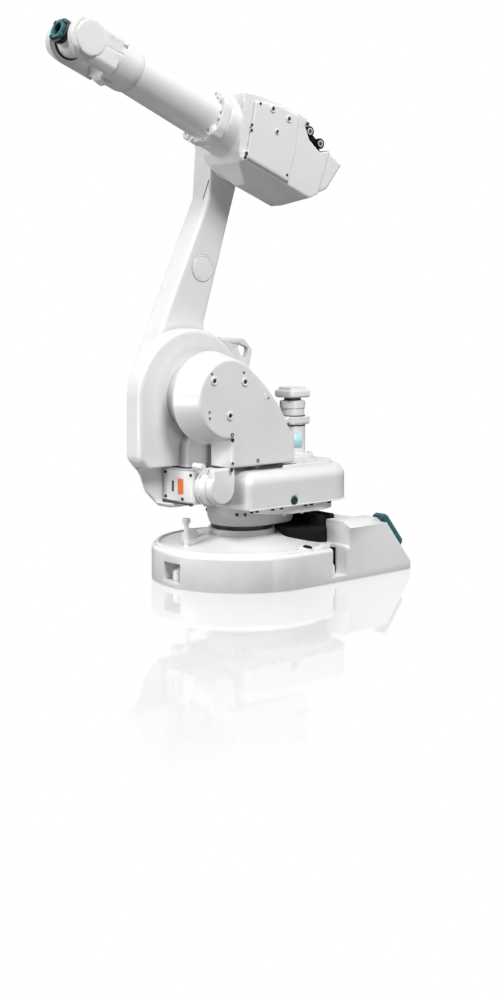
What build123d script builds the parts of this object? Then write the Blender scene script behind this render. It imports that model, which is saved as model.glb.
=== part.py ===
"""Six-axis industrial robot arm on its floor base, in millimetres.

+X is the front of the robot, +Y its left side and +Z up. The origin lies on the floor, on the
vertical turning axis. The arm stands in its resting pose: the lower arm leans back and the
forearm points up towards the front.
"""
from build123d import *
from math import atan2, cos, radians, sin, tan
import os

os.makedirs("parts", exist_ok=True)

# Axes of the arm and its resting pose
shoulder_x = 150.0
shoulder_z = 486.5
lower_arm_length = 700.0
forearm_length = 600.0
flange_reach = 65.0
lower_arm_lean = 14.71
forearm_pitch = 20.51

# Clearances
joint_gap = 0.3
side_gap = 7.0
seat_gap = 0.3

# Base
base_radius = 242.0
base_tail = 406.0
base_height = 90.0
base_rim_radius = 10.0
base_dome_rise = 28.0
base_dome_margin = 12.0
bearing_radius = 112.0
bearing_lip = 22.0
bearing_depth = 4.0
pedestal_height = 13.7
stop_block_angle = 17.0
stop_block_place = 150.0
stop_block_width = 34.0
stop_block_length = 44.0
stop_block_top = 136.0
box_height = 150.0
box_front = 170.0
box_top_rear = 300.0
box_tail_height = 22.0
box_shoulder_width = 24.0
box_shoulder_drop = 14.0
duct_width = 300.0
duct_depth = 45.0
foot_hole_inset = 27.0
foot_circle_shift = 15.0
foot_hole = 18.0
foot_thickness = 14.0
foot_edge = 18.0
front_pocket_width = 66.0
front_pocket_height = 48.0
side_pocket_width = 50.0
pocket_depth = 68.0
stop_pin_inset = 50.0
stop_pin_diameter = 22.0
stop_pin_clearance = 6.0
base_plug_inset = 24.0
base_plug_angle = 100.0
base_plug_diameter = 25.0
base_plug_depth = 6.0
base_plug_height = 3.0

# Connectors on the tail of the base
panel_width = 250.0
panel_height = 84.0
panel_thickness = 5.0
tail_recess = 36.0
connector_length = 30.0
connector_collar = 4.0
connector_spacing = 14.0
power_radius = 27.0
signal_radius = 19.0
air_radius = 11.0
guard_width = 35.0
guard_inset = 2.0
guard_reach = 24.0
guard_drop = 110.0
guard_thickness = 12.0

# Turret
ring_radius = 92.0
ring_taper = 10.0
turret_floor = 200.0
skirt_front = 45.0
skirt_rear = 250.0
skirt_half_width = 155.0
skirt_corner = 110.0
skirt_thickness = 22.0
turret_top = 297.0
turret_half_width = 167.0
turret_front = 122.0
turret_rear = 284.0
turret_rear_corner = 104.0
turret_front_corner = 18.0
turret_top_radius = 34.0
lid_thickness = 7.0
lid_inset = 34.0
lid_gap = 6.0
rubber_plug_diameter = 22.0
rubber_plug_x = -38.0
rubber_plug_z = 214.0
rubber_plug_depth = 8.0
rubber_plug_height = 2.0

# Upright and shoulder
upright_radius = 178.0
upright_face = -20.0
upright_thickness = 58.0
upright_edge_radius = 12.0
upright_front_foot = 330.0
chin_x = 290.0
chin_z = 290.0
throat_x = 270.0
throat_z = 240.0
keel_x = 226.0
chin_radius = 30.0
upright_rear = -20.0
bearing_face_radius = 104.0
hub_radius = 92.0
hub_face = 41.0
web_rear = -14.0
web_front = 86.0
cover_radius = 122.0
cover_face_radius = 102.0
cover_face = 128.0
cover_floor = 309.0
cover_join_back = 53.0
cover_join_rise = 87.0
cover_bulge_back = 182.0
cover_bulge_drop = 40.5
cover_rear = 226.0
cover_rear_drop = 123.5
stem_back = 7.0
cover_edge_radius = 6.0
lug_face = -28.0
lug_thickness = 16.0
lug_front = 92.0
lug_top = 154.5
lug_shoulder = 184.0
lug_shoulder_top = 148.5
lug_tip = 214.0
lug_tip_top = 117.5
lug_heel = 194.0
lug_floor = 49.5
lug_corner = 16.0
lug_window_front = 150.0
lug_window_top = 140.5
lug_window_rear = 199.0
lug_window_rear_top = 124.0
lug_window_low = 187.0
lug_window_floor = 83.0
lug_window_radius = 8.0

# Shoulder motor
motor_x = 170.0
motor_z = 259.0
motor_width = 92.0
motor_height = 88.0
motor_corner = 8.0
motor_pocket_depth = 50.0
motor_pocket_gap = 4.0
motor_body_end = 62.0
motor_collar_radius = 46.0
motor_collar_end = 98.0
motor_cap_radius = 41.5
motor_cap_end = 121.0
motor_cap_shift = 5.0
mount_x = 162.0
mount_radius = 39.0
mount_top = 391.0
mount_thickness = 38.0
plate_margin = 5.0
plate_thickness = 1.5

# Turning motor on the turret
turning_motor_x = -188.0
turning_motor_radius = 36.0
turning_flange_width = 88.0
turning_flange_thickness = 12.0
turning_motor_top = 462.0
turning_collar_bottom = 400.0
turning_collar_height = 18.0
turning_collar_width = 74.0
turning_cap_width = 76.0
turning_neck_radius = 24.0
turning_cap_bottom = 470.0
turning_cap_top = 499.0
turning_cap_corner = 12.0

# Lower arm
lower_arm_thickness = 77.0
lower_hub_radius = 118.0
upper_hub_radius = 62.0
lower_arm_edge_radius = 9.0
waist_start = 206.0
waist_end = 542.0
waist_front_low = 91.0
waist_front_high = 32.0
waist_rear_low = 39.0
waist_rear_high = 54.0
arm_plug_radius = 36.0
arm_plug_height = 3.0
arm_plug_place = 350.0
arm_plug_shift = 6.0
hub_cap_radius = 92.0
hub_cap_thickness = 16.0
elbow_cap_radius = 50.0
elbow_cap_thickness = 12.0
cap_edge = 4.0

# Housing round the elbow
housing_half_width = 75.0
housing_front = 120.0
housing_front_top = 88.0
housing_jaw = 84.0
housing_jaw_drop = 66.0
housing_brow = 60.0
housing_brow_top = 104.0
housing_crown = 10.0
housing_crown_top = 113.0
housing_peak = 80.0
housing_peak_top = 120.0
socket_slope_start = 112.0
socket_slope_top = 118.0
housing_tail = 222.0
housing_tail_top = 74.0
housing_tail_drop = 58.0
housing_keel = 120.0
keel_rear = 150.0
keel_front = 5.0
keel_half_width = 22.0
housing_chin = 66.0
housing_chin_drop = 90.0
housing_side_floor = 80.0
side_cover_thickness = 8.0
side_cover_edge = 3.0
side_cover_front = 84.0
side_cover_front_top = 80.0
side_cover_crown_top = 106.0
side_cover_peak = 78.0
side_cover_peak_top = 112.0
side_cover_notch = 98.0
side_cover_notch_top = 18.0
side_cover_rear = 104.0
side_cover_floor = 76.0
rear_cover_half_width = 68.0
rear_cover_tip = 284.0
rear_cover_heel = 254.0
rear_cover_margin = 2.0
rear_cover_tip_top = 58.0
rear_cover_heel_drop = 28.0
neck_radius = 74.0
drum_radius = 100.0
drum_place = 30.0
forearm_start = 140.0
elbow_hub_radius = 58.0
socket_wall = 38.0
socket_radius = 15.0
socket_length = 30.0
socket_place = 140.0
socket_height = 95.0
socket_spacing = 48.0
socket_drop = 15.0
socket_margin = 12.0

# Forearm and wrist
forearm_flange_size = 142.0
forearm_flange_thickness = 28.0
forearm_flange_corner = 50.0
tube_root_radius = 61.5
tube_tip_radius = 55.0
tube_end = 428.0
tube_step = 1.0
wrist_radius = 60.0
wrist_shoulder = 16.0
fork_gap = 37.0
fork_half_width = 59.0
fork_disc_radius = 57.0
fork_root = 78.0
wrist_cover_radius = 45.0
wrist_cover_thickness = 3.0
fork_barrel_radius = 70.0
tilt_side_gap = 0.4
tilt_radius = 39.0
nose_radius = 31.5
nose_length = 40.0
seal_radius = 29.0
seal_thickness = 5.0

# Tool flange
flange_radius = 31.5
flange_plate_thickness = 8.0
plate_body_radius = 24.5
plate_lobe_radius = 6.5
tool_circle = 50.0
tool_holes = 4
tool_hole = 6.6
centring_diameter = 31.5

lean = radians(lower_arm_lean)
pitch = radians(forearm_pitch)
elbow_x = shoulder_x - lower_arm_length * sin(lean)
elbow_z = shoulder_z + lower_arm_length * cos(lean)
foot_circle_radius = base_radius - foot_hole_inset + foot_circle_shift
stop_pin_x = base_radius - stop_pin_inset
skirt_floor = turret_floor - skirt_thickness
stop_pin_top = skirt_floor - stop_pin_clearance
base_plug_place = base_radius - base_plug_inset
dome_radius = base_radius - base_dome_margin
dome_top = base_height + base_dome_rise
dome_slope = atan2(base_dome_rise, dome_radius - bearing_radius)
tail_slope = atan2(box_height - box_tail_height, base_tail - box_top_rear)
upright_back = upright_face - upright_thickness
arm_face = upright_back - side_gap
arm_back = arm_face - lower_arm_thickness
motor_length = motor_body_end - upright_face + motor_pocket_depth
tilt_axis = forearm_length
face_down = (Align.CENTER, Align.CENTER, Align.MAX)
face_up = (Align.CENTER, Align.CENTER, Align.MIN)


def side_plane(y, x=0.0, z=0.0):
    """Upright plane at width y, drawn in X and Z, that faces the right side."""
    return Plane(origin=(x, y, z), x_dir=(1, 0, 0), z_dir=(0, -1, 0))


def shoulder_plane(y):
    """The side plane with its centre on the shoulder axis."""
    return side_plane(y, shoulder_x, shoulder_z)


def arm_plane(y):
    """Centre on the shoulder axis, with the local Y axis along the lower arm."""
    return Plane(origin=(shoulder_x, y, shoulder_z), x_dir=(cos(lean), 0, sin(lean)),
                 z_dir=(0, -1, 0))


def elbow_plane(y):
    """Centre on the elbow axis, with the local X axis along the forearm."""
    return Plane(origin=(elbow_x, y, elbow_z), x_dir=(cos(pitch), 0, sin(pitch)),
                 z_dir=(0, -1, 0))


def tilt_plane(y):
    """Centre on the tilt axis of the wrist, with the local X axis along the forearm."""
    return Plane(origin=(elbow_x + tilt_axis * cos(pitch), y, elbow_z + tilt_axis * sin(pitch)),
                 x_dir=(cos(pitch), 0, sin(pitch)), z_dir=(0, -1, 0))


def across_plane(along):
    """Square to the forearm, at a distance along it from the elbow axis."""
    return Plane(origin=(elbow_x + along * cos(pitch), 0, elbow_z + along * sin(pitch)),
                 x_dir=(0, 1, 0), z_dir=(cos(pitch), 0, sin(pitch)))


def tail_plane(height):
    """On the sloping tail of the base, with the local Y axis up the slope."""
    middle_x = -(base_tail + box_top_rear) / 2 - height * sin(tail_slope)
    middle_z = (box_height + box_tail_height) / 2 + height * cos(tail_slope)
    return Plane(origin=(middle_x, 0, middle_z), x_dir=(0, -1, 0),
                 z_dir=(-sin(tail_slope), 0, cos(tail_slope)))


def dome_plane(angle, radius):
    """On the slope of the dome, square to it."""
    turn = radians(angle)
    height = base_height + (dome_radius - radius) * tan(dome_slope)
    tilt = sin(dome_slope)
    return Plane(origin=(radius * cos(turn), radius * sin(turn), height),
                 x_dir=(-sin(turn), cos(turn), 0),
                 z_dir=(tilt * cos(turn), tilt * sin(turn), cos(dome_slope)))


def save(piece, name):
    """Label a finished piece and write it."""
    piece.label = name
    export_step(piece, f"parts/{name}.step")


# Base casting: a D-shaped foot with a low dome and a box for the connectors at the rear
pin_seat = base_height + (dome_radius - stop_pin_x - stop_pin_diameter) * tan(dome_slope)
with BuildPart() as base_casting:
    with BuildSketch(Plane.XY):
        Circle(base_radius)
        with Locations((-base_tail / 2, 0)):
            Rectangle(base_tail, 2 * base_radius)
    extrude(amount=base_height)
    fillet(base_casting.faces().sort_by(Axis.Z)[-1].edges(), base_rim_radius)
    with Locations((0, 0, base_height)):
        Cone(dome_radius, bearing_radius, base_dome_rise, align=face_up)
    with BuildSketch(side_plane(base_radius)):
        Polygon([(-box_top_rear, box_height), (-base_tail, box_tail_height),
                 (-base_tail, box_height)], align=None)
    extrude(amount=2 * base_radius, mode=Mode.SUBTRACT)
    with BuildSketch(side_plane(base_radius)):
        Polygon([(-box_front, 0), (-box_front, box_height), (-box_top_rear, box_height),
                 (-base_tail, box_tail_height), (-base_tail, 0)], align=None)
    extrude(amount=2 * base_radius)
    box_top = base_casting.faces().sort_by(Axis.Z)[-1]
    chamfer(box_top.edges().filter_by(Axis.X), box_shoulder_width, box_shoulder_drop,
            reference=box_top)
    with Locations((0, 0, dome_top)):
        Cylinder(bearing_radius - bearing_lip, bearing_depth, mode=Mode.SUBTRACT,
                 align=face_down)
    side_pocket_height = dome_top - foot_thickness
    for place, facing, width, height in ((0, 0, front_pocket_width, front_pocket_height),
                                         (120, 90, side_pocket_width, side_pocket_height),
                                         (240, 270, side_pocket_width, side_pocket_height)):
        foot_x = foot_circle_radius * cos(radians(place)) - foot_circle_shift
        foot_y = foot_circle_radius * sin(radians(place))
        with Locations(Location((foot_x, foot_y, foot_thickness), (0, 0, facing))):
            Cylinder(foot_hole / 2, foot_thickness, align=face_down, mode=Mode.SUBTRACT)
            with Locations((pocket_depth / 2 - foot_edge, 0, 0)):
                Box(pocket_depth, width, height, align=face_up, mode=Mode.SUBTRACT)
    with Locations((stop_pin_x, 0, pin_seat)):
        Cylinder(stop_pin_diameter / 2 + seat_gap, base_dome_rise, align=face_up,
                 mode=Mode.SUBTRACT)
    with BuildSketch(dome_plane(base_plug_angle, base_plug_place)):
        Circle(base_plug_diameter / 2 + seat_gap)
    extrude(amount=-base_plug_depth, mode=Mode.SUBTRACT)
    with BuildSketch(tail_plane(-tail_recess)):
        Rectangle(2 * (side_gap - arm_back), 2 * (base_tail - box_front))
    extrude(amount=2 * tail_recess, mode=Mode.SUBTRACT)
    with Locations((-box_front, 0, dome_top)):
        Box(duct_depth, duct_width, box_height, align=(Align.MAX, Align.CENTER, Align.MIN),
            mode=Mode.SUBTRACT)
save(base_casting.part, "base_casting")

# Disc that closes the bearing seat on the base
with BuildPart() as base_ring:
    with Locations((0, 0, dome_top - bearing_depth)):
        Cylinder(bearing_radius - bearing_lip - seat_gap, bearing_depth + pedestal_height,
                 align=face_up)
save(base_ring.part, "base_ring")

# Stop pin for the turning axis
with BuildPart() as stop_pin:
    with Locations((stop_pin_x, 0, pin_seat)):
        Cylinder(stop_pin_diameter / 2, stop_pin_top - pin_seat, align=face_up)
    chamfer(stop_pin.faces().sort_by(Axis.Z)[-1].edges(), stop_pin_diameter / 10)
save(stop_pin.part, "stop_pin")

# Stop block on the slope of the dome
block_turn = radians(stop_block_angle)
with BuildPart() as stop_block:
    with BuildSketch(Plane(origin=(stop_block_place * cos(block_turn),
                                   stop_block_place * sin(block_turn), dome_top),
                           x_dir=(cos(block_turn), sin(block_turn), 0), z_dir=(0, 0, 1))):
        RectangleRounded(stop_block_length, stop_block_width, stop_block_width / 5)
    extrude(amount=stop_block_top - dome_top)
    extrude(stop_block.faces().sort_by(Axis.Z)[0], amount=base_dome_rise)
    with Locations((0, 0, base_height)):
        Cone(dome_radius, bearing_radius, base_dome_rise, align=face_up, mode=Mode.SUBTRACT)
    chamfer(stop_block.faces().sort_by(Axis.Z)[-1].edges(), stop_block_width / 6)
save(stop_block.part, "stop_block")

# Round blind plug in the slope of the dome
with BuildPart() as base_plug:
    with BuildSketch(dome_plane(base_plug_angle, base_plug_place)):
        Circle(base_plug_diameter / 2)
    extrude(amount=-base_plug_depth)
    extrude(base_plug.faces().sort_by(Axis.Z)[-1], amount=base_plug_height)
save(base_plug.part, "base_plug")

# Connector panel in the recess of the tail, and the round connectors on it, which keep clear
# of the lower arm when the turret has turned to the rear
with BuildPart() as connector_panel:
    with BuildSketch(tail_plane(-tail_recess)):
        Rectangle(panel_width, panel_height)
    extrude(amount=panel_thickness)
save(connector_panel.part, "connector_panel")

panel_face = tail_plane(panel_thickness - tail_recess)
free_place = arm_face + side_gap
for name, radius in (("power_connector", power_radius), ("signal_connector", signal_radius),
                     ("air_connector", air_radius)):
    place = free_place + radius + connector_collar
    free_place = place + radius + connector_collar + connector_spacing
    with BuildPart() as connector:
        for grow, length in ((connector_collar, connector_length / 3), (0, connector_length)):
            with BuildSketch(panel_face):
                with Locations((place, 0)):
                    Circle(radius + grow)
            extrude(amount=length)
    save(connector.part, name)

# Guard strips that are bent over the upper edge of the tail and fit its shoulders
guard_turn = guard_thickness * tan(tail_slope / 2)
guard_end_x = -box_top_rear - guard_drop * cos(tail_slope)
guard_end_z = box_height - guard_drop * sin(tail_slope)
guard_outer = base_radius - guard_inset
guard_floor = box_height - box_shoulder_drop
for name, near_side in (("left_guard", guard_outer), ("right_guard", guard_width - guard_outer)):
    with BuildPart() as guard:
        with BuildSketch(side_plane(near_side)):
            Polygon([(guard_reach - box_top_rear, guard_floor),
                     (-box_top_rear - box_shoulder_drop / tan(tail_slope), guard_floor),
                     (guard_end_x, guard_end_z),
                     (guard_end_x - guard_thickness * sin(tail_slope),
                      guard_end_z + guard_thickness * cos(tail_slope)),
                     (-box_top_rear - guard_turn, box_height + guard_thickness),
                     (guard_reach - box_top_rear, box_height + guard_thickness)], align=None)
        extrude(amount=guard_width)
        add(base_casting.part, mode=Mode.SUBTRACT)
    save(guard.part, name)

# Turning ring under the turret
ring_floor = dome_top + pedestal_height + joint_gap
with BuildPart() as turning_ring:
    with Locations((0, 0, ring_floor)):
        Cone(ring_radius - ring_taper, ring_radius, skirt_floor - ring_floor, align=face_up)
save(turning_ring.part, "turning_ring")

# Flange plate that the turret is bolted to
with BuildPart() as turret_flange:
    with BuildSketch(Plane.XY.offset(skirt_floor)):
        with Locations(((skirt_front - skirt_rear) / 2, 0)):
            RectangleRounded(skirt_front + skirt_rear, 2 * skirt_half_width, skirt_corner)
    extrude(amount=skirt_thickness)
save(turret_flange.part, "turret_flange")

# Turret casting with a rounded rear end
turret_middle = (turret_front - turret_rear) / 2
with BuildPart() as turret_casting:
    with BuildSketch(Plane.XY.offset(turret_floor)):
        with Locations((turret_middle, 0)):
            Rectangle(turret_front + turret_rear, 2 * turret_half_width)
        fillet(vertices().group_by(Axis.X)[0], turret_rear_corner)
        fillet(vertices().group_by(Axis.X)[-1], turret_front_corner)
    extrude(amount=turret_top - turret_floor)
    fillet(turret_casting.faces().sort_by(Axis.Z)[-1].edges(), turret_top_radius)
    with BuildSketch(side_plane(turret_half_width)):
        with Locations((rubber_plug_x, rubber_plug_z)):
            Circle(rubber_plug_diameter / 2 + seat_gap)
    extrude(amount=rubber_plug_depth, mode=Mode.SUBTRACT)
    with Locations((upright_rear - seat_gap, (upright_face + upright_back) / 2, turret_floor)):
        Box(2 * turret_front, upright_thickness + 2 * seat_gap, turret_top,
            align=(Align.MIN, Align.CENTER, Align.MIN), mode=Mode.SUBTRACT)
save(turret_casting.part, "turret_casting")

# Lid on the turret
with BuildPart() as turret_lid:
    with BuildSketch(Plane.XY.offset(turret_top)):
        with Locations(((upright_rear - lid_gap - turret_rear + lid_inset) / 2, 0)):
            Rectangle(turret_rear - lid_inset + upright_rear - lid_gap,
                      2 * (turret_half_width - lid_inset))
        fillet(vertices().group_by(Axis.X)[0], turret_rear_corner - lid_inset)
        fillet(vertices().group_by(Axis.X)[-1], turret_front_corner)
    extrude(amount=lid_thickness)
    chamfer(turret_lid.faces().sort_by(Axis.Z)[-1].edges(), lid_thickness / 3)
save(turret_lid.part, "turret_lid")

# Rubber plug in the left wall of the turret
with BuildPart() as rubber_plug:
    with BuildSketch(side_plane(turret_half_width + rubber_plug_height)):
        with Locations((rubber_plug_x, rubber_plug_z)):
            Circle(rubber_plug_diameter / 2)
    extrude(amount=rubber_plug_height + rubber_plug_depth)
save(rubber_plug.part, "rubber_plug")

# Upright: the large plate that carries the shoulder, with its chin over the base and a pocket
# for the motor that is open to the front
with BuildPart() as upright:
    with BuildSketch(side_plane(upright_face)):
        with Locations((shoulder_x, shoulder_z)):
            Circle(upright_radius)
        upright_front = shoulder_x + upright_radius
        Polygon([(upright_rear, turret_floor), (upright_rear, shoulder_z),
                 (upright_front, shoulder_z), (upright_front, upright_front_foot),
                 (chin_x, chin_z), (throat_x, throat_z), (keel_x, turret_floor)], align=None)
        fillet(vertices().filter_by_position(Axis.X, throat_x, upright_front).filter_by_position(
            Axis.Y, throat_z, upright_front_foot), chin_radius)
    extrude(amount=upright_thickness)
    fillet(upright.faces().sort_by(Axis.Y)[-1].edges().filter_by_position(
        Axis.Z, turret_top + upright_edge_radius, shoulder_z + upright_radius),
        upright_edge_radius)
    with Locations((motor_x - motor_width / 2 - motor_pocket_gap, upright_face, motor_z)):
        Box(2 * upright_radius, 2 * motor_pocket_depth, motor_height + 2 * motor_pocket_gap,
            align=(Align.MIN, Align.CENTER, Align.CENTER), mode=Mode.SUBTRACT)
    with BuildSketch(shoulder_plane(upright_back)):
        Circle(bearing_face_radius)
    extrude(amount=side_gap - joint_gap)
save(upright.part, "upright")

# Lifting lug with a rounded window, behind the top of the upright
with BuildPart() as lifting_lug:
    with BuildSketch(shoulder_plane(lug_face)):
        Polygon([(-lug_front, lug_top), (-lug_shoulder, lug_shoulder_top),
                 (-lug_tip, lug_tip_top), (-lug_heel, lug_floor), (-lug_front, lug_floor)],
                align=None)
        fillet(vertices().group_by(Axis.X)[0] + vertices().group_by(Axis.X)[1], lug_corner)
        Circle(upright_radius + seat_gap, mode=Mode.SUBTRACT)
        with BuildSketch(mode=Mode.PRIVATE) as window:
            Polygon([(-lug_window_front, lug_window_top), (-lug_window_rear, lug_window_rear_top),
                     (-lug_window_low, lug_window_floor)], align=None)
            fillet(window.vertices(), lug_window_radius)
        add(window.sketch, mode=Mode.SUBTRACT)
    extrude(amount=lug_thickness)
save(lifting_lug.part, "lifting_lug")

# Gear housing between the upright and the side cover, on a web down to the turret
with BuildPart() as gear_housing:
    with BuildSketch(side_plane(hub_face)):
        with Locations((shoulder_x, shoulder_z)):
            Circle(hub_radius)
        Polygon([(web_front, turret_top), (web_front, shoulder_z), (web_rear, shoulder_z),
                 (web_rear, turret_top)], align=None)
    extrude(amount=hub_face - upright_face)
save(gear_housing.part, "gear_housing")

# Side cover: a cone round the shoulder that runs on into a housing at the rear
with BuildPart() as side_cover:
    with BuildSketch(shoulder_plane(hub_face)):
        Circle(cover_radius)
    with BuildSketch(shoulder_plane(cover_face)):
        Circle(cover_face_radius)
    loft()
    cover_join = (-cover_join_back, cover_join_rise)
    cover_corner = (-cover_rear, -cover_rear_drop)
    with BuildSketch(shoulder_plane(cover_face)):
        with BuildLine():
            ThreePointArc(cover_join, (-cover_bulge_back, -cover_bulge_drop), cover_corner)
            Polyline(cover_corner, (-cover_rear, cover_floor - shoulder_z),
                     (-stem_back, cover_floor - shoulder_z), (-stem_back, 0), cover_join)
        make_face()
    extrude(amount=cover_face - hub_face)
    fillet(side_cover.faces().sort_by(Axis.Y)[-1].edges(), cover_edge_radius)
save(side_cover.part, "side_cover")

# Shoulder motor: a square body let into the upright, a round collar and an end cap
with BuildPart() as shoulder_motor:
    with BuildSketch(side_plane(motor_body_end, motor_x, motor_z)):
        RectangleRounded(motor_width, motor_height, motor_corner)
    extrude(amount=motor_length)
    with BuildSketch(side_plane(motor_collar_end, motor_x, motor_z)):
        Circle(motor_collar_radius)
    extrude(amount=motor_collar_end - motor_body_end)
save(shoulder_motor.part, "shoulder_motor")

with BuildPart() as shoulder_motor_cap:
    with BuildSketch(side_plane(motor_cap_end, motor_x, motor_z)):
        Circle(motor_cap_radius)
        with Locations((-motor_cap_shift, 0)):
            Rectangle(2 * (motor_cap_radius - motor_cap_shift), cover_floor - motor_z - seat_gap,
                      align=(Align.CENTER, Align.MIN))
    extrude(amount=motor_cap_end - motor_collar_end)
    chamfer(shoulder_motor_cap.faces().sort_by(Axis.Y)[-1].edges(), cap_edge)
save(shoulder_motor_cap.part, "shoulder_motor_cap")

with BuildPart() as motor_plate:
    with Locations((motor_x + motor_width / 2, motor_body_end - motor_length / 2, motor_z)):
        Box(plate_thickness, motor_length - 2 * plate_margin, motor_height - 2 * plate_margin,
            align=(Align.MIN, Align.CENTER, Align.CENTER))
save(motor_plate.part, "motor_plate")

# Rounded mount over the shoulder motor, on the face of the upright
with BuildPart() as motor_mount:
    with BuildSketch(side_plane(upright_face + mount_thickness, mount_x)):
        with Locations((0, mount_top - mount_radius)):
            Circle(mount_radius)
        mount_floor = motor_z + motor_height / 2 + motor_pocket_gap
        Polygon([(-mount_radius, mount_floor), (mount_radius, mount_floor),
                 (mount_radius, mount_top - mount_radius),
                 (-mount_radius, mount_top - mount_radius)], align=None)
    extrude(amount=mount_thickness)
save(motor_mount.part, "motor_mount")

# Turning motor, which stands on the lid of the turret
lid_top = turret_top + lid_thickness
with BuildPart() as turning_motor:
    with BuildSketch(Plane.XY.offset(lid_top)):
        with Locations((turning_motor_x, 0)):
            RectangleRounded(turning_flange_width, turning_flange_width, turning_cap_corner)
    extrude(amount=turning_flange_thickness)
    with Locations((turning_motor_x, 0, lid_top)):
        Cylinder(turning_motor_radius, turning_motor_top - lid_top, align=face_up)
        Cylinder(turning_neck_radius, turning_cap_bottom - lid_top, align=face_up)
    with BuildSketch(Plane.XY.offset(turning_collar_bottom)):
        with Locations((turning_motor_x, 0)):
            RectangleRounded(turning_collar_width, turning_collar_width, turning_cap_corner)
    extrude(amount=turning_collar_height)
save(turning_motor.part, "turning_motor")

with BuildPart() as turning_motor_cap:
    with BuildSketch(Plane.XY.offset(turning_cap_bottom)):
        with Locations((turning_motor_x, 0)):
            RectangleRounded(turning_cap_width, turning_cap_width, turning_cap_corner)
    extrude(amount=turning_cap_top - turning_cap_bottom)
    chamfer(turning_motor_cap.faces().sort_by(Axis.Z)[-1].edges(), cap_edge)
save(turning_motor_cap.part, "turning_motor_cap")

# Lower arm: a wide hub at the shoulder, a waist and a small hub at the elbow
with BuildPart() as lower_arm_casting:
    with BuildSketch(arm_plane(arm_face)):
        Circle(lower_hub_radius)
        with Locations((0, lower_arm_length)):
            Circle(upper_hub_radius)
        Polygon([(lower_hub_radius, 0), (waist_front_low, waist_start),
                 (waist_front_high, waist_end), (upper_hub_radius, lower_arm_length),
                 (-upper_hub_radius, lower_arm_length), (-waist_rear_high, waist_end),
                 (-waist_rear_low, waist_start), (-lower_hub_radius, 0)], align=None)
    extrude(amount=lower_arm_thickness)
    for side in (0, -1):
        fillet(lower_arm_casting.faces().sort_by(Axis.Y)[side].edges(), lower_arm_edge_radius)
save(lower_arm_casting.part, "lower_arm_casting")

for name, plane, place, radius, thickness in (
        ("arm_plug", arm_plane(arm_face + arm_plug_height), (arm_plug_shift, arm_plug_place),
         arm_plug_radius, arm_plug_height),
        ("shoulder_cap", arm_plane(arm_back), (0, 0), hub_cap_radius, hub_cap_thickness),
        ("elbow_cap", arm_plane(arm_back), (0, lower_arm_length), elbow_cap_radius,
         elbow_cap_thickness)):
    with BuildPart() as cap:
        with BuildSketch(plane):
            with Locations(place):
                Circle(radius)
        extrude(amount=thickness)
    save(cap.part, name)

# Housing round the elbow, with a keel along the bottom, a drum round the axis on the right and
# a recess for the motor sockets in the left upper corner at the rear
recess_front = socket_place - socket_radius - socket_margin
recess_floor = socket_height - socket_radius - socket_margin
rear_socket_place = socket_place + socket_spacing
with BuildPart() as arm_housing:
    with BuildSketch(elbow_plane(housing_half_width)):
        Polygon([(housing_front, housing_front_top), (housing_brow, housing_brow_top),
                 (-housing_crown, housing_crown_top), (-housing_peak, housing_peak_top),
                 (-socket_slope_start, socket_slope_top), (-housing_tail, housing_tail_top),
                 (-housing_tail, -housing_tail_drop), (-keel_rear, -housing_keel),
                 (-keel_front, -housing_keel), (housing_chin, -housing_chin_drop),
                 (housing_jaw, -housing_jaw_drop)], align=None)
    extrude(amount=2 * housing_half_width)
    for side in (-1, 1):
        with BuildSketch(across_plane(-2 * housing_tail)):
            Polygon([(side * housing_half_width, -housing_side_floor),
                     (side * keel_half_width, -housing_keel),
                     (side * housing_half_width, -housing_keel)], align=None)
        extrude(amount=4 * housing_tail, mode=Mode.SUBTRACT)
    with BuildSketch(across_plane(housing_chin)):
        Circle(neck_radius)
    extrude(amount=forearm_start - housing_chin)
    with BuildSketch(elbow_plane(-housing_half_width)):
        Circle(drum_radius)
    extrude(amount=-housing_half_width - drum_place)
    with BuildSketch(elbow_plane(housing_half_width)):
        Polygon([(-recess_front, 2 * socket_slope_top), (-recess_front, socket_height),
                 (-socket_place, recess_floor), (-rear_socket_place, recess_floor - socket_drop),
                 (-housing_tail, housing_tail_top), (-housing_tail, 2 * socket_slope_top)],
                align=None)
    extrude(amount=housing_half_width - socket_wall, mode=Mode.SUBTRACT)
save(arm_housing.part, "arm_housing")

with BuildPart() as elbow_hub:
    with BuildSketch(elbow_plane(-housing_half_width)):
        Circle(elbow_hub_radius)
    extrude(amount=-housing_half_width - arm_face - joint_gap)
save(elbow_hub.part, "elbow_hub")

with BuildPart() as housing_side_cover:
    with BuildSketch(elbow_plane(housing_half_width + side_cover_thickness)):
        Polygon([(side_cover_front, side_cover_front_top), (housing_brow, -side_cover_floor),
                 (-side_cover_rear, -side_cover_floor), (-side_cover_notch, side_cover_notch_top),
                 (-side_cover_peak, side_cover_peak_top), (0, side_cover_crown_top)], align=None)
    extrude(amount=side_cover_thickness)
    chamfer(housing_side_cover.faces().sort_by(Axis.Y)[-1].edges(), side_cover_edge)
save(housing_side_cover.part, "housing_side_cover")

with BuildPart() as housing_rear_cover:
    with BuildSketch(elbow_plane(rear_cover_half_width)):
        Polygon([(-housing_tail, housing_tail_top - rear_cover_margin),
                 (-rear_cover_tip, rear_cover_tip_top), (-rear_cover_heel, -rear_cover_heel_drop),
                 (-housing_tail, rear_cover_margin - housing_tail_drop)], align=None)
    extrude(amount=2 * rear_cover_half_width)
save(housing_rear_cover.part, "housing_rear_cover")

# Motor sockets on the wall of the recess in the housing
for name, place, height in (
        ("front_motor_socket", socket_place, socket_height),
        ("rear_motor_socket", rear_socket_place, socket_height - socket_drop)):
    with BuildPart() as socket:
        with BuildSketch(elbow_plane(socket_wall)):
            with Locations((-place, height)):
                Circle(socket_radius)
        extrude(amount=-socket_length)
    save(socket.part, name)

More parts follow.
